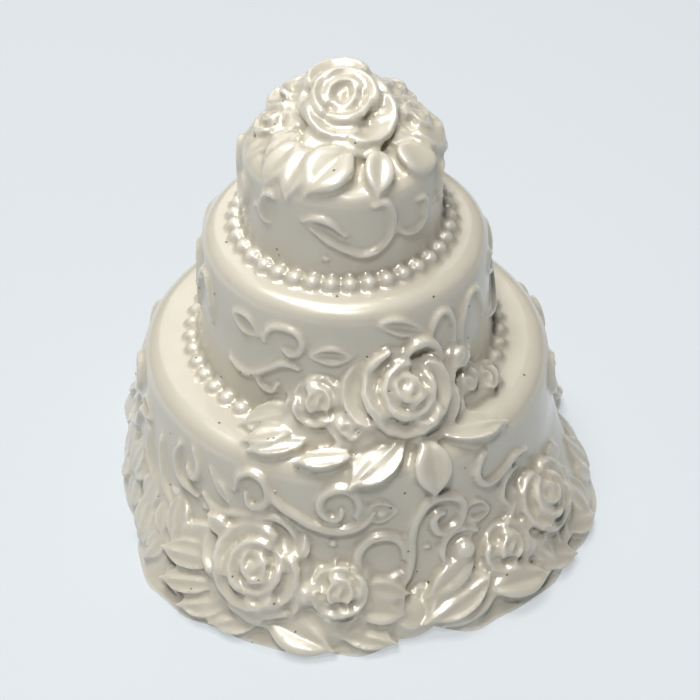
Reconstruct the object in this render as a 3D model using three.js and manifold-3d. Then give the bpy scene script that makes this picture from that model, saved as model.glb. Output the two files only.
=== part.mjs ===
// A small three-tier wedding cake cast in one piece: three round tiers with rounded shoulders,
// roses and leaves on the top, on the middle ledge and round the foot, scrolls on the walls and
// a string of beads at the base of the two upper tiers. Millimetres, +Z up, front towards -Y.
// Angles are in degrees about Z, 0 at the front and growing to the right.
import * as THREE from 'three';
import { mergeVertices } from 'three/addons/utils/BufferGeometryUtils.js';
import Module from 'manifold-3d';

const wasm = await Module();
wasm.setup();

// Beads sit in the corner at the base of a tier: how far they reach out from its wall, how high
// they are and how many go round. Then the shares of a bead's reach and height: how far it still
// reaches at the ledge, how high its widest place is, and what is left of it between two beads.
const beads = {
  middle: { reach: 2.0, height: 2.4, count: 47 },
  top: { reach: 1.9, height: 2.2, count: 37 },
};
const beadFoot = 0.6;
const beadWaist = 0.45;
const beadGap = 0.35;
const beadTop = 0.1; // how far the last of a bead stands off the wall

const tiers = {
  bottom: { base: 0, height: 29, footRadius: 35.8, topRadius: 32, shoulder: 3, x: 0, sink: 0 },
  middle: { base: 29, height: 22, footRadius: 23.6, topRadius: 21.7, shoulder: 2.6, x: -0.2, sink: 2 },
  top: { base: 51, height: 15.5, footRadius: 15.3, topRadius: 14.8, shoulder: 2.2, x: -0.6, sink: 2 },
};
tiers.middle.beads = beads.middle;
tiers.top.beads = beads.top;
const bottomSides = 40;
const footRows = [0, 1.4, 5, 10, 17];

// The foot spreads out under each bunch of flowers.
const flare = { height: 17, power: 1.6, base: 1.6 };
const footLobes = [
  { angle: -22, halfWidth: 44, reach: 5.2 },
  { angle: 55, halfWidth: 42, reach: 5.4 },
  { angle: 146, halfWidth: 44, reach: 5.2 },
  { angle: -132, halfWidth: 34, reach: 4.8 },
];
const lobeEdge = 0.45; // share of a lobe's half width over which it rises
const hemHeight = 1.4; // the thin straight edge that the cast stands on

const ridge = { halfWidth: 1.1, rise: 0.7, root: 0.5 }; // the moulded line of a scroll
const scrollSteps = 7; // corners in one turn of a spiral
const scrollHeart = 0.35; // size of a spiral at its eye, as a share of its full size

const radians = THREE.MathUtils.degToRad;
const vector = (x, y, z) => new THREE.Vector3(x, y, z);

// A point at an angle round the cake, a distance from the axis and a height.
function around(angle, reach, z, x = 0) {
  return vector(x + reach * Math.sin(radians(angle)), -reach * Math.cos(radians(angle)), z);
}

function smooth(t) {
  const k = Math.min(Math.max(t, 0), 1);
  return k * k * (3 - 2 * k);
}

// How much further than the plain cone the wall of the bottom tier reaches near the foot.
function flareAt(angle, z) {
  const fall = Math.max(0, 1 - z / flare.height) ** flare.power;
  let reach = flare.base;
  for (const lobe of footLobes) {
    const away = Math.abs(((angle - lobe.angle + 540) % 360) - 180) / lobe.halfWidth;
    reach += lobe.reach * smooth((1 - away) / lobeEdge);
  }
  return reach * fall;
}

function wallRadius(tier, angle, z) {
  const climb = (z - tier.base) / tier.height;
  const cone = tier.footRadius + (tier.topRadius - tier.footRadius) * climb;
  return tier === tiers.bottom ? cone + flareAt(angle, z) : cone;
}

// Turns a closed three.js geometry into a solid that can be joined.
function solid(geometry) {
  const bare = geometry.clone();
  bare.deleteAttribute('normal');
  bare.deleteAttribute('uv');
  const merged = mergeVertices(bare, 1e-4);
  return new wasm.Manifold(new wasm.Mesh({
    numProp: 3,
    vertProperties: new Float32Array(merged.attributes.position.array),
    triVerts: new Uint32Array(merged.index.array),
  }));
}

// A tier is turned from its profile. Every second side of a beaded tier is the gap between two
// beads, and the bottom tier is spread out at the foot.
function makeTier(tier) {
  const top = tier.base + tier.height;
  const string = tier.beads;
  const profile = [];
  const add = (radius, z) => profile.push(new THREE.Vector2(radius, z));
  add(0, tier.base - tier.sink);
  if (string) {
    add(tier.footRadius + string.reach * beadFoot, tier.base - tier.sink);
    add(tier.footRadius + string.reach, tier.base + string.height * beadWaist);
    add(tier.footRadius + beadTop, tier.base + string.height);
  } else {
    const slope = (tier.topRadius - tier.footRadius) / tier.height;
    for (const z of footRows) add(tier.footRadius + slope * z, z);
  }
  const steps = string ? 2 : 3;
  for (let step = 0; step <= steps; step += 1) {
    const turn = (step / steps) * Math.PI / 2;
    add(
      tier.topRadius - tier.shoulder * (1 - Math.cos(turn)),
      top - tier.shoulder * (1 - Math.sin(turn)),
    );
  }
  add(0, top);
  const sides = string ? string.count * 2 : bottomSides;
  const geometry = new THREE.LatheGeometry(profile, sides);
  geometry.rotateX(Math.PI / 2);
  const position = geometry.attributes.position;
  for (let i = 0; i < position.count; i += 1) {
    const point = vector().fromBufferAttribute(position, i);
    const reach = Math.hypot(point.x, point.y);
    const angle = THREE.MathUtils.radToDeg(Math.atan2(point.x, -point.y));
    let out = reach;
    const onWall = !string && reach > tier.topRadius - tier.shoulder;
    if (onWall) out += flareAt(angle, Math.max(point.z, hemHeight));
    const inGap = string && Math.floor(i / profile.length) % 2 === 1;
    const offWall = reach - tier.footRadius;
    if (inGap && offWall > beadTop * 2) out = tier.footRadius + offWall * beadGap;
    const grow = reach > 0 ? out / reach : 1;
    position.setXYZ(i, point.x * grow + tier.x, point.y * grow, point.z);
  }
  return solid(geometry);
}

// Places a shape made round the origin and facing +Z so that it faces outwards at an angle,
// turned up from level by its tilt.
function face(geometry, [angle, reach, z, tilt], spin = 0) {
  geometry.rotateZ(radians(spin));
  geometry.rotateX(radians(90 - tilt));
  geometry.rotateZ(radians(angle));
  const place = around(angle, reach, z);
  geometry.translate(place.x, place.y, place.z);
  return geometry;
}

// A rose is a polar grid: rings of rolled petals that step down from the heart to the rim. Each
// ring has its share of the flower's radius and rise, and how far its petals wave in and out.
const roseRings = [
  { share: 0.3, rise: 1.0, wave: 0 },
  { share: 0.42, rise: 0.7, wave: 0 },
  { share: 0.68, rise: 0.84, wave: 0 },
  { share: 0.96, rise: 0.52, wave: 0.1 },
  { share: 0.86, rise: -1.3, wave: 0.06 },
];
const rose = { rings: roseRings, petals: 5, sides: 10 };
// A bud is the heart of a rose with a single wrap of petals.
const bud = { rings: roseRings.slice(2), petals: 3, sides: 6 };

function polarSolid(rings, sides, pointAt) {
  const position = [];
  const index = [];
  for (const ring of rings) {
    for (let side = 0; side < sides; side += 1) position.push(...pointAt(ring, side));
  }
  const first = position.length / 3;
  position.push(...pointAt({ ...rings[0], share: 0 }, 0));
  position.push(...pointAt({ ...rings[rings.length - 1], share: 0 }, 0));
  for (let side = 0; side < sides; side += 1) {
    const next = (side + 1) % sides;
    index.push(first, side, next);
    for (let row = 0; row + 1 < rings.length; row += 1) {
      const here = row * sides;
      const below = here + sides;
      index.push(here + side, below + side, below + next, here + side, below + next, here + next);
    }
    const last = (rings.length - 1) * sides;
    index.push(first + 1, last + next, last + side);
  }
  const geometry = new THREE.BufferGeometry();
  geometry.setAttribute('position', new THREE.Float32BufferAttribute(position, 3));
  geometry.setIndex(index);
  return geometry;
}

// The seat is the angle, reach, height and tilt of the middle of the flower's foot.
function makeFlower(kind, seat, radius, rise, spin = 0) {
  const geometry = polarSolid(kind.rings, kind.sides, (ring, side) => {
    const turn = side * (2 * Math.PI / kind.sides);
    const reach = radius * ring.share * (1 + ring.wave * Math.cos(kind.petals * turn));
    return [reach * Math.cos(turn), reach * Math.sin(turn), rise * ring.rise];
  });
  return solid(face(geometry, seat, spin));
}

// The low heap that a bunch of flowers grows out of.
function makeMound(seat, [wide, deep, rise]) {
  const geometry = new THREE.SphereGeometry(1, 10, 6);
  geometry.rotateX(Math.PI / 2);
  geometry.scale(wide, deep, rise);
  return solid(face(geometry, seat));
}

// A closed solid through rings of points, all with the same number, drawn to a point at each end.
function sweptSolid(start, rings, end) {
  const sides = rings[0].length;
  const last = 2 + (rings.length - 1) * sides;
  const position = [start, end, ...rings.flat()].flatMap((point) => point.toArray());
  const index = [];
  for (let side = 0; side < sides; side += 1) {
    const next = (side + 1) % sides;
    index.push(0, 2 + side, 2 + next, 1, last + next, last + side);
    for (let here = 2; here < last; here += sides) {
      const there = here + sides;
      index.push(here + side, there + next, here + next, here + side, there + side, there + next);
    }
  }
  const geometry = new THREE.BufferGeometry();
  geometry.setAttribute('position', new THREE.Float32BufferAttribute(position, 3));
  geometry.setIndex(index);
  return solid(geometry);
}

// A leaf runs from its stalk to its tip with a raised middle, arched away from what it lies on.
// Its widest place is a little before the middle.
const leafRows = 4;
const leafBelly = 0.8;
const leafCrown = 0.9;
const leafEdge = 0.4;

function makeLeaf([angle, reach, z, steep], tip, width, { arch = 0.8, thickness = 1.7 } = {}) {
  const start = around(angle, reach, z);
  const end = around(...tip);
  const middle = start.clone().add(end).multiplyScalar(0.5);
  const along = end.clone().sub(start).normalize();
  const outward = around((angle + tip[0]) / 2, Math.cos(radians(steep)), Math.sin(radians(steep)));
  const across = outward.clone().cross(along).normalize();
  const up = along.clone().cross(across).normalize();
  middle.addScaledVector(up, arch);
  const spine = new THREE.QuadraticBezierCurve3(start, middle, end);
  const rings = [];
  for (let row = 1; row < leafRows; row += 1) {
    const t = row / leafRows;
    const half = (width / 2) * Math.sin(Math.PI * t ** leafBelly);
    const swell = Math.sin(Math.PI * t);
    const spot = spine.getPoint(t);
    const at = (side, lift) => spot.clone().addScaledVector(across, side).addScaledVector(up, lift);
    const depth = thickness * (leafEdge + swell);
    rings.push([at(-half, 0), at(0, leafCrown * swell), at(half, 0), at(0, -depth)]);
  }
  return sweptSolid(start, rings, end);
}

// A scroll is a ridge on a wall: a spiral about its eye, then a tail that runs off to an end.
// Angles and heights are on the wall of its tier.
function makeScroll(tier, { eye, size, turns, from, hand = 1, tail = [] }) {
  const degreesPerMm = 180 / Math.PI / wallRadius(tier, eye[0], eye[1]);
  const line = [];
  const steps = Math.round(turns * scrollSteps);
  for (let step = 0; step <= steps; step += 1) {
    const t = step / steps;
    const turn = radians(from + hand * 360 * turns * (t - 1));
    const reach = size * (scrollHeart + (1 - scrollHeart) * t);
    line.push([eye[0] + reach * Math.cos(turn) * degreesPerMm, eye[1] + reach * Math.sin(turn)]);
  }
  line.push(...tail);
  const path = line.map(([angle, z]) => around(angle, wallRadius(tier, angle, z), z, tier.x));
  const rings = path.slice(1, -1).map((point, k) => {
    const outward = around(line[k + 1][0], 1, 0);
    const side = path[k + 2].clone().sub(path[k]).cross(outward).normalize();
    const at = (across, lift) => point.clone().addScaledVector(side, across).addScaledVector(outward, lift);
    return [at(ridge.halfWidth, -ridge.root), at(0, ridge.rise), at(-ridge.halfWidth, -ridge.root)];
  });
  return sweptSolid(path[0], rings, path[path.length - 1]);
}

// The flowers on the top: an open rose that leans forward, a smaller one to its right, buds
// behind and to the left, and leaves that lap the shoulder.
function topFlowers() {
  const thick = { thickness: 2.6 };
  return [
    makeMound([0, 0, 65.6, 90], [12.6, 12.6, 3.0]),
    makeMound([180, 6.0, 66.0, 90], [8.4, 7.2, 7.2]),
    makeMound([100, 8.4, 66.0, 70], [6.2, 6.2, 3.2]),
    makeFlower(rose, [-172, 1.6, 70.0, 108], 7.6, 4.2),
    makeFlower(rose, [98, 9.0, 66.8, 60], 5.8, 4.0, 30),
    makeFlower(bud, [-94, 9.8, 66.8, 60], 4.4, 3.8),
    makeFlower(bud, [142, 10.0, 67.2, 72], 4.8, 4.0, 60),
    makeFlower(bud, [-142, 9.6, 67.4, 74], 5.2, 4.2),
    makeLeaf([-84, 9, 68.0, 75], [-74, 15.2, 65.4], 4.0, thick),
    makeLeaf([-46, 8, 68.6, 60], [-48, 15.6, 64.2], 4.6, thick),
    makeLeaf([-34, 8, 68.6, 60], [-33, 15.8, 63.8], 4.4, thick),
    makeLeaf([14, 5.6, 69.0, 70], [-21, 15.0, 66.2], 6.6, thick),
    makeLeaf([36, 8, 68.8, 60], [17, 15.2, 65.8], 4.6, thick),
    makeLeaf([66, 9, 68.0, 50], [52, 15.0, 65.6], 6.6, thick),
    makeLeaf([96, 9, 68.0, 50], [84, 15.2, 65.0], 7.2, thick),
    makeLeaf([-125, 9, 68, 60], [-118, 15.8, 63.2], 5.4, thick),
    makeLeaf([178, 9, 68, 60], [170, 15.8, 63.0], 5.6, thick),
    makeLeaf([128, 9, 68, 60], [124, 15.8, 63.2], 5.2, thick),
    makeLeaf([-152, 9, 68, 60], [-156, 15.8, 63.4], 5.2, thick),
  ];
}

// A bunch on the middle ledge: a large rose and two small ones that lean on the wall, with
// leaves that spread over the ledge and one that hangs over its edge.
function ledgeFlowers(at, hand = 1) {
  const turn = (degrees) => at + hand * degrees;
  return [
    makeMound([turn(2), 24.6, 31.2, 45], [9.5, 4.4, 3.6]),
    makeFlower(rose, [turn(0), 24.4, 36.4, 40], 7.9, 4.6, 20),
    makeFlower(rose, [turn(-32), 23.6, 34.8, 38], 4.8, 3.4, 50),
    makeFlower(bud, [turn(39), 24.0, 32.8, 36], 3.8, 3.2),
    makeLeaf([turn(-8), 27.4, 30.6, 80], [turn(-17), 34.2, 28.4], 6.6, { arch: 1.6, thickness: 3 }),
    makeLeaf([turn(6), 28, 30.8, 50], [turn(3), 33.8, 22.8], 5.6, { arch: 3, thickness: 3.4 }),
    makeLeaf([turn(12), 27, 30.4, 80], [turn(26), 33, 29.2], 5.2, { arch: 1.2, thickness: 2.8 }),
    makeLeaf([turn(-34), 31, 29.4, 85], [turn(-20), 31, 29.6], 3.8, { thickness: 2.2 }),
    makeLeaf([turn(-56), 26.8, 29.6, 80], [turn(-43), 26.4, 30.4], 5.0, { arch: 1.2, thickness: 2.6 }),
  ];
}

// A bunch at the foot: roses and buds on the spread wall, over leaves that reach to the edge.
function footFlowers(at, hand = 1) {
  const turn = (degrees) => at + hand * degrees;
  return [
    makeFlower(rose, [turn(0), 36.6, 10.6, 36], 7.4, 4.4, 10),
    makeFlower(rose, [turn(19.5), 37.2, 7.8, 38], 5.0, 3.8, 40),
    makeFlower(rose, [turn(-17), 36.6, 8.6, 32], 4.6, 3.6, 25),
    makeLeaf([turn(-12), 38.4, 5, 50], [turn(-24), 42.2, 1.8], 6.4, { arch: 1.2, thickness: 3 }),
    makeLeaf([turn(-2), 39, 4, 50], [turn(-10), 42.8, 1.6], 6.0, { arch: 1.2, thickness: 3 }),
    makeLeaf([turn(4), 39.2, 4.6, 50], [turn(13), 43.6, 1.8], 7.2, { arch: 1.4, thickness: 3.2 }),
    makeLeaf([turn(18), 40, 3.4, 50], [turn(29), 41.8, 1.6], 5.4, { arch: 1, thickness: 2.8 }),
    makeLeaf([turn(-24), 36.2, 11, 30], [turn(-35), 37.8, 4.4], 5.2, { thickness: 2.4 }),
  ];
}

// The long tail rises to the left of the hanging leaf and curls over to the right.
const longTail = [[15.5, 15], [18, 19.6], [23, 21.6], [28, 20.6]];
const bottomScrolls = [
  { eye: [-2.5, 22.4], size: 3.6, turns: 1.2, from: -60, tail: [[-7, 18.4], [-13, 20.2], [-19, 22.8]] },
  { eye: [-26, 22.8], size: 3.0, turns: 1.1, from: -30, hand: -1, tail: [[-19, 22.2]] },
  { eye: [9, 12.2], size: 4.3, turns: 0.98, from: 10, hand: -1, tail: longTail },
  { eye: [26.8, 17.4], size: 2.6, turns: 1.2, from: 60, hand: -1 },
  { eye: [43, 21.6], size: 3.4, turns: 0.9, from: 250, hand: -1, tail: [[50, 19.6], [57, 19.4]] },
  { eye: [49, 16.6], size: 2.4, turns: 0.9, from: 120 },
];

const sideScroll = {
  eye: [0, 20.6], size: 3.6, turns: 1.2, from: -60, tail: [[-5, 17], [-12, 18.4], [-18, 21.6]],
};

// The same scroll further round its tier.
function moved(scroll, by) {
  return {
    ...scroll,
    eye: [scroll.eye[0] + by, scroll.eye[1]],
    tail: (scroll.tail ?? []).map(([angle, z]) => [angle + by, z]),
  };
}

function bottomDecor() {
  const wall = tiers.bottom;
  const sides = [-84, 100, 178].map((by) => makeScroll(wall, moved(sideScroll, by)));
  return [
    ...bottomScrolls.map((scroll) => makeScroll(wall, scroll)),
    ...sides,
    makeLeaf([4, 33.2, 20.4, 8], [13, 33.0, 22.0], 2.8, { arch: 0.3, thickness: 1.4 }),
    makeLeaf([-40, 33.6, 18, 8], [-35, 33.2, 22.0], 2.8, { arch: 0.3, thickness: 1.4 }),
  ];
}

const middleScrolls = [
  { eye: [-27, 44.6], size: 2.4, turns: 0.9, from: -60, tail: [[-20, 44.4], [-21, 42.4]] },
  { eye: [-30, 38.6], size: 2.4, turns: 0.7, from: 20, tail: [[-21, 40.4], [-17, 39.4]] },
  { eye: [38, 44.4], size: 2.6, turns: 0.7, from: 220, hand: -1 },
  { eye: [56, 42.4], size: 2.8, turns: 0.7, from: 220, hand: -1 },
];

function middleDecor() {
  const wall = tiers.middle;
  return [
    ...middleScrolls.map((scroll) => makeScroll(wall, scroll)),
    ...[150, -100].map((by) => makeScroll(wall, moved(middleScrolls[0], by))),
    makeLeaf([-47, 22.2, 45.6, 8], [-35, 22.2, 44.2], 3.2, { arch: 0.3, thickness: 1.4 }),
    makeLeaf([14, 21.9, 48.4, 12], [30, 22.0, 45.8], 3.2, { arch: 0.5, thickness: 1.4 }),
  ];
}

const topScrolls = [
  { eye: [22, 60], size: 3.4, turns: 0.8, from: 235, hand: -1, tail: [[8, 59.4], [-4, 61.4], [-16, 62.2]] },
  { eye: [43, 61], size: 2.8, turns: 0.7, from: 60 },
  { eye: [-52, 60.5], size: 2.8, turns: 0.8, from: 300 },
];

function topDecor() {
  return [...topScrolls, moved(topScrolls[2], -140)].map((scroll) => makeScroll(tiers.top, scroll));
}

// Everything is one casting, cut off level at the foot.
const pieces = [
  ...Object.values(tiers).map(makeTier),
  ...topFlowers(),
  ...ledgeFlowers(21),
  ...ledgeFlowers(-158),
  ...footFlowers(-21),
  ...footFlowers(58, -1),
  ...footFlowers(146),
  ...footFlowers(-132, -1),
  ...topDecor(),
  ...middleDecor(),
  ...bottomDecor(),
];
const below = new THREE.BoxGeometry(120, 120, 20).translate(0, 0, -10);
const joined = pieces.reduce((whole, piece) => whole.add(piece)).subtract(solid(below));
const cast = joined.decompose().reduce((a, b) => (a.volume() > b.volume() ? a : b)); // no scrap or bubble

function toGeometry(manifold) {
  const mesh = manifold.getMesh();
  const geometry = new THREE.BufferGeometry();
  geometry.setAttribute('position', new THREE.Float32BufferAttribute(mesh.vertProperties, 3));
  geometry.setIndex(new THREE.Uint32BufferAttribute(mesh.triVerts, 1));
  return geometry;
}

const lacquer = new THREE.MeshStandardMaterial({ color: 0xe6dfd2, roughness: 0.25, metalness: 0.1 });
const cake = new THREE.Mesh(toGeometry(cast), lacquer);
cake.name = 'cake';

const group = new THREE.Group();
group.add(cake);

export default group;
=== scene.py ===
import bpy
from math import atan2, cos, degrees, hypot, pi, radians, sin
from mathutils import Matrix, Vector


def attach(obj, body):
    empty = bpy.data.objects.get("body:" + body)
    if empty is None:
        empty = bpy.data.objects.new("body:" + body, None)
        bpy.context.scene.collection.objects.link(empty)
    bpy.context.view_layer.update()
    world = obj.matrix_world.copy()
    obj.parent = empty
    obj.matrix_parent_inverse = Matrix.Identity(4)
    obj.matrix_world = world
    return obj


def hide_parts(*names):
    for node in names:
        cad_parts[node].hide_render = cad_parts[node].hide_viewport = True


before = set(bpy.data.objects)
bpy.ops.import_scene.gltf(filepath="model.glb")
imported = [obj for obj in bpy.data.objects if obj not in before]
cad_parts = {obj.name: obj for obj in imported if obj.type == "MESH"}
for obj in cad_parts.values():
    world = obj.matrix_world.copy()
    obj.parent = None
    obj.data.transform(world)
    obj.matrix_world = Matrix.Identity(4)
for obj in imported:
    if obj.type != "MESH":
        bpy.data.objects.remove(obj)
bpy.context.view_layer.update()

mm = 0.001  # a millimetre in metres


def deselectAll():
    for thing in bpy.context.selected_objects:
        thing.select_set(False)


def makeActive(piece):
    deselectAll()
    piece.select_set(True)
    bpy.context.view_layer.objects.active = piece


def pickVertices(piece, test):
    # selects by place; called in object mode, so edit mode finds the choice made
    for edge in piece.data.edges:
        edge.select = False
    for face in piece.data.polygons:
        face.select = False
    for vertex in piece.data.vertices:
        vertex.select = test(vertex.co)


def editVertices(piece, test):
    makeActive(piece)
    pickVertices(piece, test)
    bpy.ops.object.mode_set(mode='EDIT')
    bpy.ops.mesh.select_mode(type='VERT')


def leaveEdit():
    bpy.ops.object.mode_set(mode='OBJECT')


def useModifier(piece, kind, **settings):
    makeActive(piece)
    modifier = piece.modifiers.new(kind.title(), kind)
    for name, value in settings.items():
        setattr(modifier, name, value)
    bpy.ops.object.modifier_apply(modifier=modifier.name)


def copyOf(piece, name):
    twin = piece.copy()
    twin.data = piece.data.copy()
    twin.name = name
    bpy.context.collection.objects.link(twin)
    return twin


def joinAll(pieces, name):
    deselectAll()
    for piece in pieces:
        piece.select_set(True)
    bpy.context.view_layer.objects.active = pieces[0]
    bpy.ops.object.join()
    pieces[0].name = name
    return pieces[0]


def throwAway(pieces):
    deselectAll()
    for piece in pieces:
        piece.select_set(True)
    bpy.ops.object.delete()


def around(angle, reach, z, x=0):
    turn = radians(angle)
    return Vector((x + reach * sin(turn), -reach * cos(turn), z))


def smoothStep(t):
    k = min(max(t, 0), 1)
    return k * k * (3 - 2 * k)


def facing(angle, reach, z, tilt, x=0):
    # places a shape made round the origin and facing up: tilt 90 leaves it level, 0 turns it to
    # face out from the axis, and more than 90 leans it inwards
    return (Matrix.Translation(around(angle, reach, z, x)) @ Matrix.Rotation(radians(angle), 4, 'Z')
            @ Matrix.Rotation(radians(90 - tilt), 4, 'X'))


# the camera looks down at the axis at the target height, in mm, by the elevation, in degrees
view = dict(distance=320, elevation=41, targetHeight=25, side=0.56, lens=102.4, nearest=10)

rise = radians(view['elevation'])
bpy.ops.object.camera_add(
    location=(view['side'] * mm, -cos(rise) * view['distance'] * mm,
              (view['targetHeight'] + sin(rise) * view['distance']) * mm),
    rotation=(pi / 2 - rise, 0, 0))
camera = bpy.context.object
camera.name = "camera"
camera.data.lens = view['lens']
camera.data.clip_start = view['nearest'] * mm
bpy.context.scene.camera = camera
print("camera placed")


def linear(hexColour):
    # sRGB hex to the linear values that shaders take
    parts = [int(hexColour[i:i + 2], 16) / 255 for i in (1, 3, 5)]
    return [p / 12.92 if p <= 0.04045 else ((p + 0.055) / 1.055) ** 2.4 for p in parts] + [1]


def addNode(tree, kind, settings=None, inputs=None, links=None):
    # settings are the node's own, inputs are socket values, links feed sockets from other nodes
    node = tree.nodes.new(kind)
    for name, value in (settings or {}).items():
        setattr(node, name, value)
    for name, value in (inputs or {}).items():
        node.inputs[name].default_value = value
    for name, source in (links or {}).items():
        tree.links.new(source, node.inputs[name])
    return node


def newMaterial(name):
    material = bpy.data.materials.new(name)
    material.use_nodes = True
    material.node_tree.nodes.clear()
    return material, material.node_tree


# a sheet just under the foot; size and drop are in metres
card = dict(size=3, drop=0.0001, colour="#868A8D", roughness=0.9, shine=0.1,
            glow="#E3E8EC", glowStrength=0.60)


def paperFloorMaterial():
    # matt white card, lit from below like a light table, so it takes hardly any shadow
    material, tree = newMaterial("whiteCard")
    shader = addNode(tree, 'ShaderNodeBsdfPrincipled', inputs={
        'Base Color': linear(card['colour']), 'Roughness': card['roughness'],
        'Specular IOR Level': card['shine'], 'Emission Color': linear(card['glow']),
        'Emission Strength': card['glowStrength']})
    addNode(tree, 'ShaderNodeOutputMaterial', links={'Surface': shader.outputs[0]})
    return material


bpy.ops.mesh.primitive_plane_add(size=card['size'], location=(0, 0, -card['drop']))
floor = bpy.context.object
floor.name = "floor"
floor.data.materials.append(paperFloorMaterial())

# round soft boxes, in metres and watts, that all point at one place inside the cake
lampAim = Vector((0, 0, 0.03))
lights = dict(
    key=dict(place=(-0.15, 0.05, 0.84), size=0.45, power=6.0, colour="#FFFEFA"),
    back=dict(place=(-0.10, 0.60, 0.50), size=0.5, power=0.7, colour="#FFFFFF"),
    front=dict(place=(-0.05, -0.29, 0.60), size=0.11, power=2.1, colour="#FFFFFF"),
)


def addSoftBox(name, place, size, power, colour):
    aim = lampAim - Vector(place)
    turn = aim.to_track_quat('-Z', 'Y').to_euler()
    bpy.ops.object.light_add(type='AREA', location=place, rotation=turn)
    lamp = bpy.context.object
    lamp.name = name
    lamp.data.shape = 'DISK'
    lamp.data.size = size
    lamp.data.energy = power
    lamp.data.color = linear(colour)[:3]


for name, box in lights.items():
    addSoftBox(name, **box)

room = dict(colour="#E9EDF2", strength=0.02)
world = bpy.data.worlds.new("studio")
bpy.context.scene.world = world
world.use_nodes = True
background = world.node_tree.nodes['Background']
background.inputs['Color'].default_value = linear(room['colour'])
background.inputs['Strength'].default_value = room['strength']
bpy.context.scene.view_settings.view_transform = 'Standard'
print("floor and lights placed")


# sizes in mm; x is how far a tier was set off the middle, sides how many corners its circle has
tiers = dict(
    bottom=dict(base=0, height=29, footRadius=35.8, topRadius=32, shoulder=3, x=0, sides=220),
    middle=dict(base=29, height=22, footRadius=23.6, topRadius=21.7, shoulder=2.6, x=-0.2, sides=160),
    top=dict(base=51, height=15.5, footRadius=15.3, topRadius=14.8, shoulder=2.2, x=-0.6, sides=120),
)
tierSink = 2  # a tier reaches down into the one below it, and the lowest one past the cut
shoulderSteps = 8

# the foot spreads out under each bunch of flowers; a lobe rises over the outer share of its
# half width. The hem wavers as the mould was overfilled, and its lowest edge stands out a little
flare = dict(
    height=17, power=1.6, base=1.6, edge=0.45,
    lip=0.3, lipTop=1.5, lipFade=0.8,
    waver=0.35, ripples=dict(long=17, short=29, shortShare=0.6, shortStart=40),
    rows=(0.7, 1.5, 2.6, 4, 5.5, 7, 9, 11, 13, 15, 17, 20, 23), wallFrom=30,
    lobes=(
        dict(angle=-22, halfWidth=44, reach=5.2),
        dict(angle=55, halfWidth=42, reach=5.4),
        dict(angle=146, halfWidth=44, reach=5.2),
        dict(angle=-132, halfWidth=34, reach=4.8)),
)


def flareAt(angle, z):
    fall = max(0, 1 - max(z, 0) / flare['height']) ** flare['power']
    reach = flare['base']
    for lobe in flare['lobes']:
        away = abs((angle - lobe['angle'] + 540) % 360 - 180) / lobe['halfWidth']
        reach += lobe['reach'] * smoothStep((1 - away) / flare['edge'])
    ripples = flare['ripples']
    long = sin(radians(ripples['long'] * angle))
    short = sin(radians(ripples['short'] * angle + ripples['shortStart']))
    reach += flare['waver'] * (long + ripples['shortShare'] * short)
    return reach * fall


def wallRadius(tier, angle, z):
    climb = (z - tier['base']) / tier['height']
    cone = tier['footRadius'] + (tier['topRadius'] - tier['footRadius']) * climb
    return cone + flareAt(angle, z) if tier is tiers['bottom'] else cone


def makeTier(name, tier):
    top = tier['base'] + tier['height']
    bpy.ops.mesh.primitive_cylinder_add(
        vertices=tier['sides'], radius=tier['footRadius'], depth=tier['height'] + tierSink,
        end_fill_type='NGON', location=(0, 0, tier['base'] + (tier['height'] - tierSink) / 2))
    piece = bpy.context.object
    piece.name = name
    bpy.ops.object.transform_apply()
    # taper to the top, then round the shoulder
    narrow = tier['topRadius'] / tier['footRadius']
    editVertices(piece, lambda co: co.z > tier['base'] + tier['height'] / 2)
    bpy.ops.transform.resize(value=(narrow, narrow, 1), center_override=(0, 0, top))
    bpy.ops.mesh.bevel(offset=tier['shoulder'], segments=shoulderSteps, affect='EDGES', profile=0.5)
    leaveEdit()
    return piece


def spreadFoot(piece):
    # rings of edges up the wall, then each vertex goes out by the flare at its place
    for z in flare['rows']:
        editVertices(piece, lambda co: True)
        bpy.ops.mesh.bisect(plane_co=(0, 0, z), plane_no=(0, 0, 1))
        leaveEdit()
    for vertex in piece.data.vertices:
        x, y, z = vertex.co
        reach = hypot(x, y)
        if reach > flare['wallFrom']:
            lip = flare['lip'] * smoothStep((flare['lipTop'] - z) / flare['lipFade'])
            grow = 1 + (flareAt(degrees(atan2(x, -y)), z) + lip) / reach
            vertex.co.x *= grow
            vertex.co.y *= grow


castParts = []
for name, tier in tiers.items():
    piece = makeTier(name + "Tier", tier)
    if name == 'bottom':
        spreadFoot(piece)
    piece.data.transform(Matrix.Translation((tier['x'], 0, 0)))
    castParts.append(piece)
print("tiers turned")


# how far each string stands off the foot of its tier, how high, and where its first bead is
beads = dict(
    middle=dict(radius=1.2, reach=0.7, lift=0.3, count=47, start=-2, tilt=30),
    top=dict(radius=1.2, reach=1.0, lift=0.7, count=37, start=-5.6, tilt=30),
)


def stringOfBeads(tier, string):
    bpy.ops.mesh.primitive_ico_sphere_add(subdivisions=3, radius=string['radius'])
    bead = bpy.context.object
    reach = tier['footRadius'] + string['reach']
    height = tier['base'] + string['lift']
    pieces = []
    for k in range(string['count']):
        angle = string['start'] + 360 * k / string['count']
        piece = copyOf(bead, "bead")
        piece.data.transform(facing(angle, reach, height, string['tilt'], tier['x']))
        pieces.append(piece)
    throwAway([bead])
    return pieces


for name, string in beads.items():
    castParts += stringOfBeads(tiers[name], string)
print("beads strung")


# one petal stands on edge, drawn in at its stalk, cupped round the heart and rolled out at the
# rim; insets give it rings of edges to bend along
petal = dict(sides=20, insets=4, insetWidth=0.095, height=0.9, taper=0.5, rollFrom=0.45,
             thickness=0.16)

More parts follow.
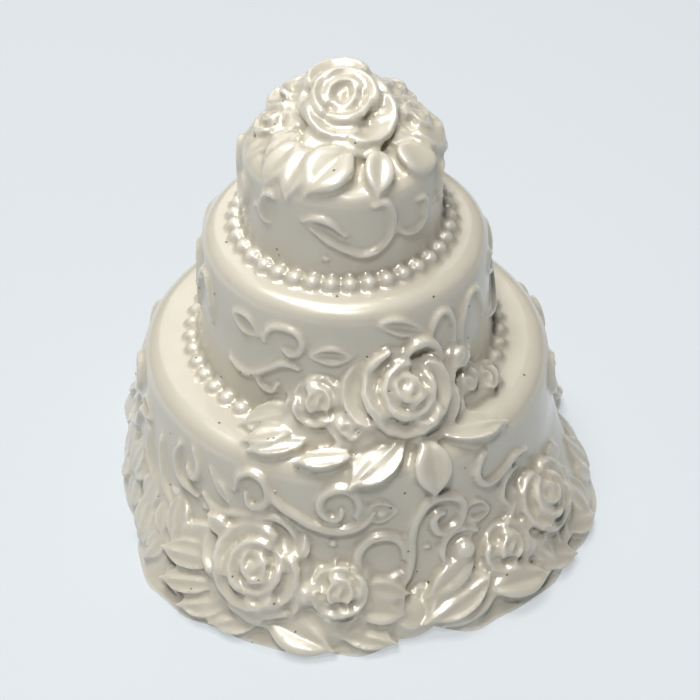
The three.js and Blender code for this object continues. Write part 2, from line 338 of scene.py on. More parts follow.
# rings of petals from the heart out, for a rose of radius 1: how many, how large and wide, how
# far from the middle, how high the stalk ends sit, how far they lean, cup and roll out, where the
# first one stands, and how far a ring is set aside
roseRings = (
    dict(count=2, size=0.38, width=1.4, off=0.02, lift=0.28, lean=0, cup=240, roll=20, turn=20),
    dict(count=3, size=0.50, width=1.5, off=0.10, lift=0.16, lean=8, cup=170, roll=40, turn=75),
    dict(count=3, size=0.70, width=1.6, off=0.14, lift=-0.03, lean=24, cup=150, roll=50, turn=10),
    dict(count=4, size=0.88, width=1.5, off=0.20, lift=-0.20, lean=40, cup=130, roll=55, turn=50),
    dict(count=5, size=0.96, width=1.3, off=0.28, lift=-0.32, lean=56, cup=105, roll=50, turn=20),
)
# the smaller roses have fewer, thicker petals
looseRings = (
    dict(count=2, size=0.44, width=1.5, off=0.03, lift=0.24, lean=0, cup=230, roll=20, turn=30),
    dict(count=3, size=0.66, width=1.6, off=0.14, lift=0.06, lean=12, cup=150, roll=40, turn=80),
    dict(count=4, size=0.90, width=1.5, off=0.24, lift=-0.18, lean=34, cup=130, roll=50, turn=20),
    dict(count=5, size=0.96, width=1.3, off=0.30, lift=-0.34, lean=56, cup=105, roll=50, turn=50),
)
# the rose on top stands wider open and taller
openRings = (
    dict(count=2, size=0.36, width=1.5, off=0.03, lift=0.14, lean=0, cup=230, roll=20, turn=60,
         aside=-0.06),
    dict(count=3, size=0.60, width=1.6, off=0.17, lift=0.08, lean=6, cup=150, roll=30, turn=10,
         aside=-0.04),
    dict(count=4, size=0.84, width=1.5, off=0.26, lift=-0.08, lean=18, cup=130, roll=45, turn=45,
         aside=0.02),
    dict(count=5, size=1.00, width=1.35, off=0.34, lift=-0.22, lean=36, cup=110, roll=50, turn=0,
         aside=0.08),
)
budRings = (
    dict(count=2, size=0.60, width=1.4, off=0.02, lift=0.12, lean=0, cup=230, roll=20, turn=60),
    dict(count=3, size=0.90, width=1.5, off=0.16, lift=-0.16, lean=18, cup=150, roll=40, turn=0),
    dict(count=3, size=1.00, width=1.4, off=0.26, lift=-0.34, lean=40, cup=130, roll=40, turn=50),
)
# no two petals are alike: how much the turn, size and lean of a petal vary, and how fast
petalWander = dict(turn=(12, 2.3), size=(0.10, 4.3), lean=(8, 2))
# a dome fills the rose from below, as a mould needs
roseDome = dict(radius=0.92, height=0.40, segments=20, rings=10)


def makePetal(width, cup, roll):
    bpy.ops.mesh.primitive_circle_add(vertices=petal['sides'], radius=0.5, fill_type='NGON',
                                      location=(0, 0, 0), rotation=(pi / 2, 0, 0))
    piece = bpy.context.object
    piece.name = "petal"
    bpy.ops.object.transform_apply()
    bpy.ops.object.mode_set(mode='EDIT')
    for step in range(petal['insets']):
        bpy.ops.mesh.inset(thickness=petal['insetWidth'])
    bpy.ops.mesh.select_all(action='SELECT')
    bpy.ops.transform.resize(value=(width, 1, petal['height']))
    leaveEdit()
    # rim first, while the petal is flat, then the cup; the heart is on its +Y side
    useModifier(piece, 'SIMPLE_DEFORM', deform_method='TAPER', factor=petal['taper'], deform_axis='Z')
    useModifier(piece, 'SIMPLE_DEFORM', deform_method='BEND', angle=-radians(roll), deform_axis='X',
                limits=(petal['rollFrom'], 1))
    useModifier(piece, 'SIMPLE_DEFORM', deform_method='BEND', angle=radians(cup), deform_axis='Z')
    useModifier(piece, 'SOLIDIFY', thickness=petal['thickness'], offset=0)
    lowest = min(vertex.co.z for vertex in piece.data.vertices)
    piece.data.transform(Matrix.Translation((0, 0, -lowest)))
    return piece


def wander(what, k, seed):
    amount, pace = petalWander[what]
    return amount * sin(pace * k + seed)


def makeRose(name, rings, seed):
    pieces = []
    for ring in rings:
        model = makePetal(ring['width'], ring['cup'], ring['roll'])
        for k in range(ring['count']):
            turn = ring['turn'] + 360 * k / ring['count'] + wander('turn', k, seed)
            size = ring['size'] * (1 + wander('size', k, seed))
            lean = ring['lean'] + wander('lean', k, seed)
            piece = copyOf(model, "petal")
            piece.data.transform(
                Matrix.Translation((0, ring.get('aside', 0), ring['lift']))
                @ Matrix.Rotation(radians(turn), 4, 'Z') @ Matrix.Translation((0, -ring['off'], 0))
                @ Matrix.Rotation(radians(lean), 4, 'X') @ Matrix.Scale(size, 4))
            pieces.append(piece)
        throwAway([model])
    bpy.ops.mesh.primitive_uv_sphere_add(
        segments=roseDome['segments'], ring_count=roseDome['rings'], radius=1)
    dome = bpy.context.object
    radius = roseDome['radius']
    dome.data.transform(Matrix.Diagonal((radius, radius, roseDome['height'], 1)))
    return joinAll(pieces + [dome], name)


flowerModels = dict(
    fullRose=makeRose("fullRose", roseRings, 0),
    looseRose=makeRose("looseRose", looseRings, 2.4),
    openRose=makeRose("openRose", openRings, 0.8),
    bud=makeRose("bud", budRings, 1),
)
print("roses modelled")


def placeFlower(model, seat, radius, height, spin=0, slim=1):
    # seat: angle, reach, height and tilt of the middle of the flower's foot
    piece = copyOf(flowerModels[model], model)
    piece.data.transform(facing(*seat) @ Matrix.Diagonal((radius * slim, radius, height, 1))
                         @ Matrix.Rotation(radians(spin), 4, 'Z'))
    return piece


# kinds of leaf, for a leaf of length 1: the middle line, the two halves and the rim go up or
# down, the tip is drawn out, and the whole is arched by so many degrees
leafKinds = dict(
    veined=dict(middle=0.05, halves=-0.05, rim=0.035, point=0.16, arch=40, narrow=True),
    lobed=dict(middle=-0.05, halves=0.025, rim=-0.03, point=0.14, arch=40, narrow=True),
    draped=dict(middle=-0.04, halves=0.02, rim=-0.03, point=0.14, arch=85, narrow=True),
    petal=dict(middle=0.01, halves=0.01, rim=-0.02, point=0.0, arch=80, narrow=False),
)
# the body of every leaf: its two insets, how far it goes back and what share of its outline is
# left there, and beyond which height both ends are narrowed, each time to what share
leafBody = dict(
    sides=24, rimWidth=0.09, innerWidth=0.16, depth=0.25, back=0.85, depthShare=0.8,
    ends=((0.16, 0.92), (0.28, 0.82), (0.40, 0.62)), stalkLonger=0.06,
)


# places on the flat leaf, which is a circle of radius 0.5 on edge
def onMiddle(co):
    return abs(co.x) < 0.01 and abs(co.z) < 0.42


def onHalf(co):
    return 0.1 < hypot(co.x, co.z) < 0.42 and abs(co.x) > 0.05


def onRim(co):
    return hypot(co.x, co.z) > 0.46


def onTip(co):
    return co.z > 0.49


def makeLeaf(name, kind):
    # stands on edge while it is bent, stalk down, its face to -Y
    bpy.ops.mesh.primitive_circle_add(vertices=leafBody['sides'], radius=0.5, fill_type='NGON',
                                      location=(0, 0, 0), rotation=(pi / 2, 0, 0))
    piece = bpy.context.object
    piece.name = name
    bpy.ops.object.transform_apply()
    editVertices(piece, onTip)
    bpy.ops.transform.translate(value=(0, 0, kind['point']))
    bpy.ops.mesh.select_all(action='SELECT')
    bpy.ops.mesh.inset(thickness=leafBody['rimWidth'])
    bpy.ops.mesh.inset(thickness=leafBody['innerWidth'])
    bpy.ops.mesh.select_all(action='SELECT')
    bpy.ops.mesh.bisect(plane_co=(0, 0, 0), plane_no=(1, 0, 0))
    leaveEdit()
    for test, up in ((onMiddle, kind['middle']), (onHalf, kind['halves']), (onRim, kind['rim'])):
        editVertices(piece, test)
        bpy.ops.transform.translate(value=(0, -up, 0))
        leaveEdit()
    if kind['narrow']:
        for beyond, share in leafBody['ends']:
            stalk = -beyond - leafBody['stalkLonger']
            editVertices(piece, lambda co: co.z > beyond or co.z < stalk)
            bpy.ops.transform.resize(value=(share, 1, 1), center_override=(0, 0, 0))
            leaveEdit()
    arch = radians(kind['arch'])
    useModifier(piece, 'SIMPLE_DEFORM', deform_method='BEND', angle=arch, deform_axis='X')
    # the body goes straight back from the face and narrows a little, as a mould needs
    editVertices(piece, lambda co: True)
    bpy.ops.mesh.select_all(action='SELECT')
    bpy.ops.mesh.extrude_region_move(TRANSFORM_OT_translate=dict(value=(0, leafBody['depth'], 0)))
    bpy.ops.transform.resize(value=(leafBody['back'], 1, leafBody['back']))
    bpy.ops.mesh.select_all(action='SELECT')
    bpy.ops.mesh.normals_make_consistent(inside=False)
    leaveEdit()
    useModifier(piece, 'SUBSURF', levels=1, render_levels=1)
    # the arch lifted the middle, so both ends go back to the height of the origin
    piece.data.transform(Matrix.Translation((0, -(1 - cos(arch / 2)) / arch, 0)))
    return piece


leafModels = {name: makeLeaf(name, kind) for name, kind in leafKinds.items()}
print("leaves modelled")


def placeLeaf(kind, start, tip, width, lift=0.25):
    # start: angle, reach, height and the steepness of the leaf's face; tip: angle, reach, height
    angle, reach, z, steep = start
    root, end = around(angle, reach, z), around(*tip)
    along = end - root
    middle = (angle + tip[0]) / 2
    outward = around(middle, cos(radians(steep)), sin(radians(steep)))
    across = along.cross(outward).normalized()
    up = across.cross(along).normalized()
    length = along.length
    piece = copyOf(leafModels[kind], kind)
    # model axes: X across, Z along, -Y the face
    turn = Matrix((across, -up, along.normalized())).transposed().to_4x4()
    piece.data.transform(Matrix.Translation((root + end) / 2 + up * lift) @ turn
                         @ Matrix.Diagonal((width, length * leafBody['depthShare'], length, 1)))
    return piece


def makeMound(seat, wide, deep, height):
    # the low heap that a bunch grows out of
    bpy.ops.mesh.primitive_uv_sphere_add(segments=28, ring_count=14, radius=1)
    mound = bpy.context.object
    mound.data.transform(facing(*seat) @ Matrix.Diagonal((wide, deep, height, 1)))
    return mound


# a bunch is a list of places on the cake. A mound or flower has its seat (angle, reach, height,
# tilt), then a mound its two half widths and its height, a flower its radius, height, spin and
# how slim it is. A leaf has its stalk (angle, reach, height, steepness), its tip and its width.
# The open rose on top leans forward, so its far petals stand highest
topFlowers = dict(
    mounds=(
        ((0, 0, 65.6, 90), 12.6, 12.6, 2.4), ((180, 6.0, 66.0, 90), 8.6, 7.4, 7.4),
        ((100, 8.4, 66.0, 70), 6.4, 6.4, 3.2)),
    flowers=(
        ('openRose', (-172, 1.6, 70.0, 108), 8.2, 6.4, 0, 0.9),
        ('bud', (-94, 9.8, 66.6, 60), 4.6, 5.2, 0),
        ('looseRose', (98, 9.0, 66.8, 60), 6.2, 5.6, 30),
        ('bud', (142, 10.0, 67.2, 72), 5.2, 4.8, 60),
        ('bud', (-142, 9.6, 67.4, 74), 5.8, 5.2, 0)),
    leaves=(
        ('lobed', (-84, 9, 68.4, 75), (-74, 15.2, 65.6), 4.0),
        ('lobed', (-68, 7.0, 69.2, 70), (-60, 14.0, 67.0), 3.6),
        ('draped', (-47, 8, 69.8, 60), (-50, 15.8, 64.6), 5.0),
        ('draped', (-35, 8, 69.8, 60), (-34, 16.0, 64.2), 4.8),
        ('draped', (10, 7.0, 69.4, 70), (-24, 15.4, 66.0), 7.8),
        ('draped', (36, 8.0, 69.2, 60), (17, 15.2, 65.8), 4.8),
        ('petal', (-50, 2.6, 70.0, 80), (-24, 9.0, 68.6), 7.4),
        ('petal', (20, 3.0, 70.0, 80), (22, 9.0, 68.4), 6.6),
        ('petal', (66, 9.0, 68.4, 50), (52, 14.8, 66.0), 7.0),
        ('petal', (96, 9.0, 68.4, 50), (84, 15.0, 65.4), 7.6),
        ('draped', (-125, 9, 68.6, 60), (-118, 15.8, 63.2), 5.6),
        ('draped', (178, 9, 68.4, 60), (170, 15.8, 63.0), 5.8),
        ('petal', (158, 5.0, 72.2, 50), (156, 12.6, 68.0), 7.4),
        ('petal', (-162, 5.0, 72.2, 50), (-158, 12.6, 68.0), 7.4),
        ('draped', (128, 9, 68.4, 60), (124, 15.8, 63.2), 5.4),
        ('draped', (-152, 9, 68.4, 60), (-156, 15.8, 63.4), 5.2)),
)


def turned(place, by):
    return (place[0] + by, *place[1:])


def addFlowers(bunch, by=0):
    for seat, *shape in bunch['mounds']:
        castParts.append(makeMound(turned(seat, by), *shape))
    for model, seat, *shape in bunch['flowers']:
        castParts.append(placeFlower(model, turned(seat, by), *shape))
    for kind, start, tip, width in bunch['leaves']:
        castParts.append(placeLeaf(kind, turned(start, by), turned(tip, by), width))


addFlowers(topFlowers)
print("top flowers placed")


ledgeFlowers = dict(
    mounds=(
        ((22, 24.6, 31.2, 45), 9.5, 4.4, 3.6), ((-12, 25.0, 30.4, 45), 7.0, 3.8, 2.4),
        ((4, 26.4, 32.4, 45), 3.4, 3.4, 2.0), ((52, 24.2, 30.4, 45), 4.6, 3.0, 2.2)),
    flowers=(
        ('fullRose', (20.5, 23.6, 36.4, 38), 9.0, 7.0, 20),
        ('bud', (0.5, 26.0, 32.6, 42), 3.6, 4.2, 80),
        ('looseRose', (-10, 23.0, 35.2, 36), 5.0, 5.0, 50),
        ('bud', (45, 22.6, 38.2, 20), 2.8, 3.6, 0),
        ('bud', (57, 24.4, 30.4, 50), 3.4, 4.2, 20),
        ('bud', (47, 23.6, 33.2, 30), 3.0, 3.8, 50)),
    leaves=(
        ('veined', (-18, 24.8, 33.0, 60), (-35, 27.2, 29.6), 5.4),
        ('lobed', (-17, 27.2, 31.4, 80), (-31, 30.2, 29.5), 4.0),
        ('veined', (-12, 28.2, 30.6, 85), (-28, 31.4, 29.3), 3.8),
        ('veined', (2, 30.2, 30.4, 80), (-14, 31.6, 29.6), 3.8),
        ('veined', (18, 28.4, 31.2, 75), (1, 33.9, 27.5), 6.6),
        ('veined', (28, 29.0, 30.6, 80), (49, 32.2, 29.1), 5.6),
        ('draped', (24, 29.2, 31.6, 45), (23, 34.2, 22.8), 6.4)),
)

addFlowers(ledgeFlowers)
addFlowers(ledgeFlowers, -179)
print("ledge flowers placed")


leftFootFlowers = dict(
    mounds=(
        ((-21, 35.6, 8.6, 36), 8.5, 6.0, 2.6), ((-9.4, 38.0, 8.6, 40), 2.1, 2.1, 2.0),
        ((-10, 38.4, 4.4, 45), 8.0, 4.6, 2.2), ((14, 38.2, 3.2, 45), 5.4, 3.6, 1.9)),
    flowers=(
        ('fullRose', (-21.4, 35.6, 10.4, 36), 9.2, 7.0, 10),
        ('looseRose', (-1.8, 36.4, 8.6, 38), 5.3, 5.4, 40)),
    leaves=(
        ('lobed', (-35, 34.8, 13.6, 25), (-43.5, 37.0, 9.0), 4.2),
        ('lobed', (-30, 35.6, 14.4, 25), (-37, 35.4, 16.4), 3.0),
        ('veined', (-31, 37.4, 9.6, 40), (-47, 39.6, 8.0), 4.8),
        ('veined', (-30, 38.8, 6.6, 45), (-44, 41.8, 4.2), 4.6),
        ('veined', (-26, 39.8, 4.6, 50), (-38, 42.8, 1.8), 4.8),
        ('veined', (-18, 39.8, 3.8, 50), (-29.5, 42.8, 1.6), 5.0),
        ('lobed', (-18.5, 40.4, 4.2, 50), (-2.5, 43.2, 1.6), 6.6),
        ('veined', (-3, 40.0, 3.8, 50), (10.5, 42.2, 1.6), 4.8),
        ('lobed', (1.5, 39.0, 6.2, 45), (13.5, 39.6, 5.0), 4.2),
        ('lobed', (3, 37.0, 9.6, 40), (15, 37.6, 7.2), 3.8),
        ('lobed', (10, 38.6, 5.0, 50), (18, 40.4, 2.6), 4.0)),
)
rightFootFlowers = dict(
    mounds=(
        ((56, 35.6, 8.6, 36), 8.0, 6.0, 2.6), ((47, 37.8, 7.0, 40), 2.4, 2.4, 2.2),
        ((30.5, 35.6, 11.2, 25), 1.8, 1.8, 1.7), ((26, 37.6, 4.2, 45), 6.0, 4.4, 2.4)),
    flowers=(
        ('fullRose', (58, 34.9, 10.6, 34), 8.0, 7.0, 40),
        ('looseRose', (41.5, 35.8, 8.2, 36), 5.4, 5.8, 10)),
    leaves=(
        ('lobed', (33, 36.6, 10.0, 40), (19, 38.4, 6.2), 4.6),
        ('veined', (35, 39.2, 7.0, 50), (17.5, 40.8, 3.4), 6.0),
        ('lobed', (36, 40.2, 4.0, 50), (21, 41.2, 1.8), 3.8),
        ('lobed', (33, 40.4, 5.2, 50), (49, 42.6, 3.0), 5.4),
        ('veined', (48, 39.6, 4.8, 50), (58.5, 43.2, 1.6), 5.2),
        ('veined', (60, 39.6, 4.8, 50), (71, 42.6, 1.6), 5.2),
        ('lobed', (66, 37.0, 9.0, 40), (78, 38.4, 4.4), 5.0),
        ('lobed', (66, 34.6, 14.0, 25), (75, 35.4, 12.4), 4.0)),
)

# small leaves overlap along the hem and, in a second row, climb the wall between the bunches:
# degrees from one to the next, how high each climbs, and how much they lean and differ in width.
# A stalk is sunk in the wall, a tip stands off it and every third one sits higher
fringe = dict(
    step=6.0, width=4.6, climb=(6.5, 4.6, 8.2, 5.4, 7.4, 4.2), kinds=('veined', 'lobed'),
    lean=6, leanPace=1.3, uneven=0.25, unevenPace=2.6,
    wallSlope=0.13, stalkSunk=0.4, steep=30, tipOff=0.3, tipRise=0.5, tipRises=3, lift=0.35,
)


def fringeReach(angle, z):
    return tiers['bottom']['footRadius'] + flareAt(angle, z) - fringe['wallSlope'] * z


def addFringe(start, end, hem=1.8):
    count = round((end - start) / fringe['step'])
    for k in range(count + 1):
        angle = start + (end - start) * k / count
        top = hem + fringe['climb'][k % len(fringe['climb'])]
        lean = fringe['lean'] * sin(fringe['leanPace'] * k + start)
        stalk = (angle, fringeReach(angle, top) - fringe['stalkSunk'], top, fringe['steep'])
        tip = (angle + lean, fringeReach(angle + lean, hem) + fringe['tipOff'],
               hem + fringe['tipRise'] * (k % fringe['tipRises']))
        kind = fringe['kinds'][k % len(fringe['kinds'])]
        width = fringe['width'] * (1 + fringe['uneven'] * sin(fringe['unevenPace'] * k + start))
        castParts.append(placeLeaf(kind, stalk, tip, width, fringe['lift']))


addFlowers(leftFootFlowers)
addFlowers(rightFootFlowers)
addFlowers(leftFootFlowers, 167)
addFlowers(rightFootFlowers, -190)
for start, end in ((-108, 112), (174, 198)):
    addFringe(start, end)
addFringe(-96, -43, hem=7.0)
print("foot flowers placed")


# a full stroke's half width in mm, the share of it by which its middle stands off the wall, what
# is left of it at its ends, and how finely it is rounded across and along
ridge = dict(width=0.84, stand=0.35, ends=0.55, across=2, along=5)


def addStroke(tier, points, width=1.0, lift=0):
    # a soft ridge through points (angle, height) on a tier's wall, thin at both ends
    bpy.ops.curve.primitive_bezier_curve_add(radius=1)
    piece = bpy.context.object
    piece.name = "scroll"
    curve = piece.data
    curve.dimensions = '3D'
    curve.bevel_depth = ridge['width'] * width
    curve.bevel_resolution = ridge['across']
    curve.resolution_u = ridge['along']
    curve.use_fill_caps = True
    knots = curve.splines[0].bezier_points
    knots.add(len(points) - 2)
    for k, (knot, (angle, z)) in enumerate(zip(knots, points)):
        reach = wallRadius(tier, angle, z) + ridge['width'] * width * ridge['stand'] + lift
        knot.handle_left_type = knot.handle_right_type = 'AUTO'
        knot.co = around(angle, reach, z, tier['x'])
        knot.radius = ridge['ends'] if k in (0, len(points) - 1) else 1
    bpy.ops.object.convert(target='MESH')
    castParts.append(piece)


# each scroll: its width, then the places (angle, height) that the ridge runs through
bottomScrolls = (
    (1.0, (13, 7.5), (15.2, 9.5), (16.5, 12.5), (17, 16), (19, 19.6), (22.6, 21.8), (27.8, 21.4),
     (31.2, 19.6), (31.4, 17), (28.5, 15.4), (24.6, 15.4), (22.9, 17.2), (24, 18.9), (26.6, 18.6)),
    (1.0, (14.8, 12.2), (13.6, 15.6), (9.2, 16.8), (4.4, 15.6), (2.8, 12.8), (4.8, 9.9), (9, 9),
     (13.4, 10)),
    (0.6, (32, 17.4), (36, 18.1), (40.4, 15.4)),
    (0.6, (32, 17), (35.4, 14.8), (40.2, 15)),
    (0.8, (25, 9.8), (24.6, 12), (26.6, 14.2), (31, 14.6), (35.5, 13)),
    (0.6, (29.4, 10.6), (30, 12.4), (33.4, 12.8)),
    (0.9, (40.5, 26.6), (37.4, 25), (36.8, 22.6), (38.6, 20.8), (42, 20.2), (46, 20.8), (51, 21.8),
     (57, 20.6)),
    (0.8, (52, 19.2), (48, 19.4), (45.2, 17.4), (45.2, 15), (48.4, 13.6), (52.4, 14), (54.4, 16.2)),
    (1.0, (-20.4, 24.4), (-18.4, 22.4), (-12.4, 20.2), (-7, 18.7), (-0.6, 18.4), (4.2, 19.6),
     (7.4, 21.8)),
    (0.9, (2.4, 20.6), (3.2, 23.4), (0.6, 25.7), (-4, 25.6), (-6.8, 23.4), (-5.6, 21), (-2.4, 20.6),
     (-1, 22.4)),
    (0.55, (4, 21.4), (8.4, 23.2), (13.4, 21.2)),
    (0.55, (4, 21), (8.8, 19.7), (13.2, 21)),
    (0.9, (-30.6, 21.6), (-28.4, 25.4), (-24.4, 26.2), (-21, 24), (-21.6, 21.2), (-25.4, 20.2),
     (-27.4, 22.4)),
    (0.8, (-41, 18.4), (-36.6, 16.6), (-31.6, 17.2), (-26.6, 18.3), (-22, 19.8)),
    (0.8, (-25.6, 16), (-22.4, 18.6), (-16.4, 18.8), (-12.2, 15.4)),
    (0.7, (-40.4, 15.6), (-35.6, 16.2), (-31, 14.6)),
    (0.9, (-50.4, 24.6), (-51.8, 21), (-48.8, 17.8), (-42, 16.8)),
    (0.8, (-45.6, 25.4), (-42.8, 22.6), (-44.6, 19.8), (-47.6, 21.2)),
    (0.6, (-38.8, 23.6), (-35.4, 20.4), (-31.8, 18.7)),
    (0.6, (-36.8, 22.4), (-34, 21.4), (-32, 19.4)),
    (0.8, (-60, 22), (-59, 18), (-54, 13.4), (-50, 12)),
    (0.8, (-68, 20), (-67, 15.6), (-62, 12.4)),
    (0.8, (-4.4, 15.8), (-2.6, 15.7)),
    (0.7, (20.2, 13.4), (21.8, 13.2)),
)
# what the other sides carry: an S scroll with an eye at each end and a leaf beside it
sideScrolls = (
    (1.0, (-20, 23.6), (-16, 20), (-10, 18), (-4, 18.6), (1.4, 21), (3.2, 24), (0, 26), (-4, 25),
     (-4.6, 22.4), (-1.8, 21.8)),
    (0.9, (-20, 23.6), (-23.4, 25.6), (-27.6, 24.4), (-28, 21), (-24.4, 19.8), (-22.4, 22)),
    (0.8, (-6, 15), (-1, 13.4), (4, 14.8), (6.4, 18.4), (11, 20.6), (16, 19.4)),
    (0.6, (8, 22.4), (12.6, 24), (17, 22)),
    (0.6, (8, 22.2), (12.8, 20.8), (17, 21.8)),
)
middleScrolls = (
    (0.6, (-48, 45.6), (-41, 46.6), (-34, 44.2)),
    (0.6, (-48, 45.2), (-41, 43.6), (-34, 44)),
    (0.75, (-32, 43.2), (-29, 46.2), (-22.6, 47), (-17, 46), (-16.8, 43.6), (-20.6, 42.6), (-24, 43.2)),
    (0.6, (-13, 43.2), (-5, 44.6), (3, 43.2)),
    (0.6, (-13, 42.8), (-4.6, 42), (3, 43)),
    (0.8, (-49, 37), (-41, 36.2), (-34, 37.4), (-29, 39), (-23, 40.6), (-17, 40.2)),
    (0.7, (-35, 37.8), (-33, 35.4), (-28, 34.9), (-25.4, 36.8)),
    (0.6, (13, 48.6), (21, 48.6), (32, 45.4)),
    (0.6, (13, 48.2), (22, 46), (31.4, 45)),
    (0.8, (33, 41), (35, 45.6), (40, 47.4), (45, 44.8), (45.6, 40.6)),
    (0.8, (49.5, 38.6), (52, 45), (58, 47.2), (64, 44), (66, 40)),
    (0.7, (18, 43.6), (19.4, 43.5)),
)
topScrolls = (
    (0.75, (-22.4, 61.6), (-15, 62.6), (-7, 62.2), (2.4, 59.8)),
    (0.8, (-18, 61), (-7, 59), (4, 57.2), (13, 56.4), (23.6, 57.7), (28.8, 60.4), (28, 63.2),
     (23.4, 64.9), (17, 64.4)),
    (0.75, (28, 61.6), (36.4, 58.4), (47.4, 58), (53, 60.4), (50.6, 62.8), (45.4, 62.9)),
    (0.7, (62, 60.2), (68, 61)),
    (0.7, (-39, 63.8), (-44, 64.2), (-50, 62), (-49.4, 59.6), (-44, 59)),
    (0.8, (-10, 55.8), (-7.6, 55.6)),
)


def addScrolls(tier, scrolls, by=0):
    for width, *points in scrolls:
        addStroke(tier, [(angle + by, z) for angle, z in points], width)


addScrolls(tiers['bottom'], bottomScrolls)
for by in (-84, 110, 178):
    addScrolls(tiers['bottom'], sideScrolls, by)
for by in (142, -134):
    addScrolls(tiers['bottom'], sideScrolls[:2], by)  # the S alone
addScrolls(tiers['middle'], middleScrolls)
for by in (125, -118):
    addScrolls(tiers['middle'], middleScrolls[:7], by)  # what the front has on its left
for by in (122, -128):
    addScrolls(tiers['middle'], middleScrolls[7:11], by)  # and what it has on its right
addScrolls(tiers['top'], topScrolls)
for by in (120, -120):
    addScrolls(tiers['top'], topScrolls[:5], by)  # all but the dot

# rims of petals that show below and behind the roses: width, how far off the wall, and places
petalRims = dict(
    bottom=(
        (1.3, 1.6, (-28.4, 7.6), (-25, 5.4), (-18, 4.4)),
        (1.2, 1.8, (-22.6, 6), (-17.6, 5.6), (-12.8, 6.2))),
    middle=(
        (1.0, 0.8, (22, 42.4), (27, 44.2), (33, 43.4), (38, 39.6)),
        (1.0, 0.8, (5.6, 38.6), (10, 42.2), (16.6, 44.2))),
)
for name, rims in petalRims.items():
    for width, lift, *points in rims:
        addStroke(tiers[name], points, width, lift)
print("scrolls laid on the walls")


# the coat fills what is narrower than twice its thickness and leaves what stands out; sizes are
# in mm, and the shading breaks at creases sharper than so many degrees
skin = dict(
    voxel=0.26, coat=0.35, softness=0.5, softSteps=3,
    waveSize=7, waveHeight=0.16, triangles=196000, crease=70,
)

throwAway(list(flowerModels.values()) + list(leafModels.values()))
cast = joinAll(castParts, "castCake")
cast.data.materials.clear()
useModifier(cast, 'REMESH', mode='VOXEL', voxel_size=skin['voxel'])
useModifier(cast, 'DISPLACE', strength=skin['coat'], mid_level=0)
useModifier(cast, 'REMESH', mode='VOXEL', voxel_size=skin['voxel'])
useModifier(cast, 'DISPLACE', strength=-skin['coat'], mid_level=0)
useModifier(cast, 'SMOOTH', factor=skin['softness'], iterations=skin['softSteps'])
# the walls of a hand-poured cast are never quite true
waves = bpy.data.textures.new("pouredWaves", 'CLOUDS')
waves.noise_scale = skin['waveSize']
useModifier(cast, 'DISPLACE', texture=waves, strength=skin['waveHeight'], mid_level=0.5,
            texture_coords='LOCAL')
print("skin made:", len(cast.data.polygons), "faces")

# cut off level at the foot
editVertices(cast, lambda co: True)
bpy.ops.mesh.select_all(action='SELECT')
bpy.ops.mesh.bisect(plane_co=(0, 0, 0), plane_no=(0, 0, 1), clear_inner=True, use_fill=True)
leaveEdit()
share = skin['triangles'] / sum(len(face.vertices) - 2 for face in cast.data.polygons)
if share < 1:
    useModifier(cast, 'DECIMATE', ratio=share, use_collapse_triangulate=True)
makeActive(cast)
bpy.ops.object.shade_smooth_by_angle(angle=radians(skin['crease']))
cast.data.transform(Matrix.Scale(mm, 4))
print("cast thinned to", len(cast.data.polygons), "triangles")


# sizes in mm: how far the tint drifts, the ripple of the dip coat, how far apart pinholes lie;
# painted shade in the valleys and a painted highlight on the crests are read from how sharp the
# surface is: from, to, and how much colour changes; the pinholes are painted dark as shade
lacquer = dict(
    light="#D0CABC", dark="#C4BDAC", raised="#EDE9DF", hollowShade="#B5AC97", pinholeShade="#857A62",
    driftSize=11, driftRange=(0.3, 0.7), rippleSize=0.9, rippleDepth=0.02, rippleStrength=0.5,
    hollowShadeLimits=(0.50, 0.42, 0.7), ridgeHighlightMask=(0.505, 0.56, 0.75),
    pinholeSpacing=3.6, pinholeRadius=0.24, pinholeFloor=0.6, pinholeDepth=0.12,
    satin=(0.28, 0.40), metallic=0.10, ior=1.45, coat=0.8, coatRoughness=0.09, coatIor=1.5,
)


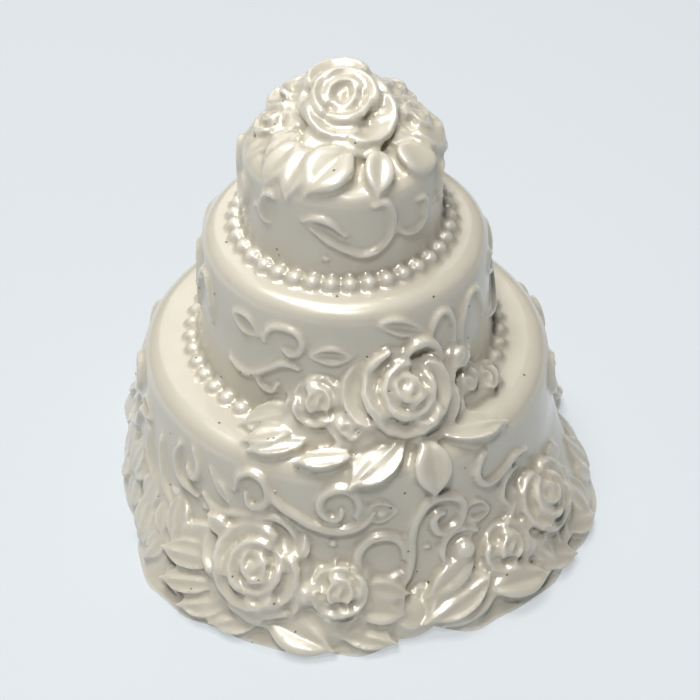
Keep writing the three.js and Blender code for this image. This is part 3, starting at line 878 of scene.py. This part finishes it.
def pearlLacquerMaterial():
    # cast plaster dipped in pearl lacquer: fine mica in the ivory base gives a satin, faintly
    # metallic glow, the clear coat over it gives small sharp lights; the valleys are painted darker
    # as painted shade, the crests lighter as a painted highlight, and a few pinholes are pitted and
    # painted dark as the shade inside them
    material, tree = newMaterial("pearlLacquer")
    place = addNode(tree, 'ShaderNodeTexCoord').outputs['Object']
    drift = addNode(tree, 'ShaderNodeTexNoise',
                    inputs={'Scale': 1 / (lacquer['driftSize'] * mm), 'Detail': 3},
                    links={'Vector': place})
    tint = addNode(tree, 'ShaderNodeMixRGB',
                   inputs={'Color1': linear(lacquer['light']), 'Color2': linear(lacquer['dark'])},
                   links={'Fac': drift.outputs['Fac']})
    # painted shade: the valleys are darkened, read from how sharp the surface is
    relief = addNode(tree, 'ShaderNodeNewGeometry').outputs['Pointiness']
    flat, deep, much = lacquer['hollowShadeLimits']
    hollowShadeMask = addNode(tree, 'ShaderNodeMapRange',
                      inputs={'From Min': flat, 'From Max': deep, 'To Min': 0, 'To Max': much},
                      links={'Value': relief})
    hollowShade = addNode(tree, 'ShaderNodeMixRGB', inputs={'Color2': linear(lacquer['hollowShade'])},
                     links={'Fac': hollowShadeMask.outputs[0], 'Color1': tint.outputs[0]})
    # painted highlight: the sharp crests are lightened
    flat, sharp, much = lacquer['ridgeHighlightMask']
    ridgeHighlightMask = addNode(tree, 'ShaderNodeMapRange',
                     inputs={'From Min': flat, 'From Max': sharp, 'To Min': 0, 'To Max': much},
                     links={'Value': relief})
    raised = addNode(tree, 'ShaderNodeMixRGB', inputs={'Color2': linear(lacquer['raised'])},
                     links={'Fac': ridgeHighlightMask.outputs[0], 'Color1': hollowShade.outputs[0]})
    # pinholes: real shallow pits from a bump, and a dark colour painted in them as their shade
    cells = addNode(tree, 'ShaderNodeTexVoronoi',
                    inputs={'Scale': 1 / (lacquer['pinholeSpacing'] * mm)},
                    links={'Vector': place})
    rim = lacquer['pinholeRadius'] / lacquer['pinholeSpacing']
    pinholePitAndShade = addNode(tree, 'ShaderNodeMapRange',
                    inputs={'From Min': rim, 'From Max': rim * lacquer['pinholeFloor']},
                    links={'Value': cells.outputs['Distance']})
    colour = addNode(tree, 'ShaderNodeMixRGB', inputs={'Color2': linear(lacquer['pinholeShade'])},
                     links={'Fac': pinholePitAndShade.outputs[0], 'Color1': raised.outputs[0]})
    ripple = addNode(tree, 'ShaderNodeTexNoise',
                     inputs={'Scale': 1 / (lacquer['rippleSize'] * mm), 'Detail': 2},
                     links={'Vector': place})
    rippled = addNode(tree, 'ShaderNodeBump',
                      inputs={'Strength': lacquer['rippleStrength'],
                              'Distance': lacquer['rippleDepth'] * mm},
                      links={'Height': ripple.outputs['Fac']})
    pitted = addNode(tree, 'ShaderNodeBump', settings={'invert': True},
                     inputs={'Strength': 1, 'Distance': lacquer['pinholeDepth'] * mm},
                     links={'Height': pinholePitAndShade.outputs[0], 'Normal': rippled.outputs[0]})
    low, high = lacquer['driftRange']
    glossy, matt = lacquer['satin']
    satin = addNode(tree, 'ShaderNodeMapRange',
                    inputs={'From Min': low, 'From Max': high, 'To Min': glossy, 'To Max': matt},
                    links={'Value': drift.outputs['Fac']})
    shader = addNode(tree, 'ShaderNodeBsdfPrincipled',
                     inputs={'Metallic': lacquer['metallic'], 'IOR': lacquer['ior'],
                             'Coat Weight': lacquer['coat'], 'Coat IOR': lacquer['coatIor'],
                             'Coat Roughness': lacquer['coatRoughness']},
                     links={'Base Color': colour.outputs[0], 'Roughness': satin.outputs[0],
                            'Normal': pitted.outputs[0], 'Coat Normal': pitted.outputs[0]})
    addNode(tree, 'ShaderNodeOutputMaterial', links={'Surface': shader.outputs[0]})
    return material


cast.data.materials.append(pearlLacquerMaterial())
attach(cast, "root")
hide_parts("cake")
print("pearl lacquer on")
